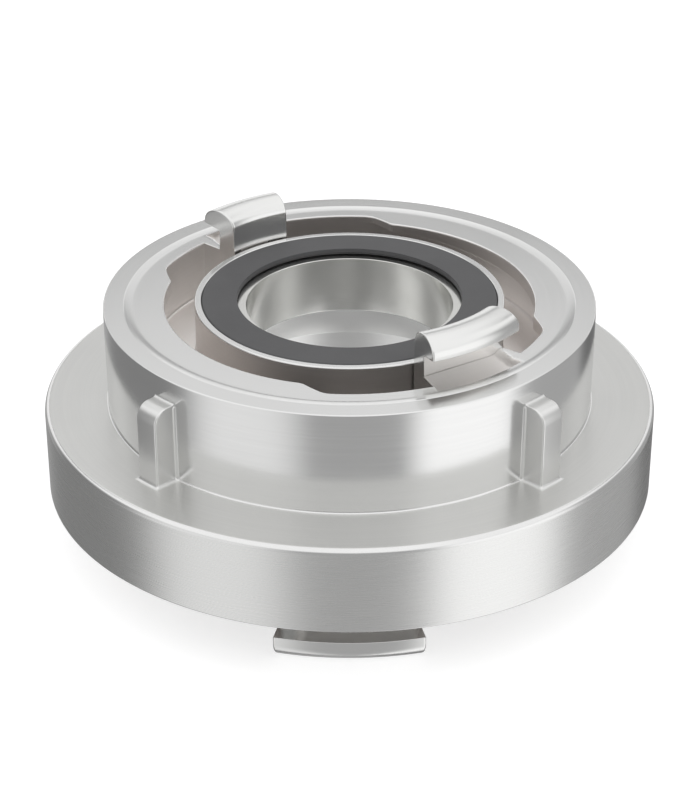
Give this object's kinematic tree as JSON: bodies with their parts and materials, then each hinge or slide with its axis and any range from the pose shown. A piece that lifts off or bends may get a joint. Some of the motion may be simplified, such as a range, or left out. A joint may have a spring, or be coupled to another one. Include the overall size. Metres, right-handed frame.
{
  "type": "fire hose coupling reducer",
  "caption": "Rigid quarter turn hose coupling reducer with hooked claws, undercut tracks and a lip seal on each face, joining a large and a small hose line.",
  "frame": {"origin": "on the axis of the waterway, at the level of the heads of the two large claws that the part stands on", "axes": "+Z along the waterway, from the large coupling face to the small one; the large claws lie on +Y and -Y"},
  "size_m": [0.125, 0.125, 0.0594],
  "materials": {
    "aluminium": "turned cast aluminium alloy, satin",
    "seal_rubber": "smooth dark grey rubber"
  },
  "bodies": {
    "root": {"reducer_body": "aluminium", "seal_52": "seal_rubber", "seal_75": "seal_rubber"}
  },
  "joints": []
}
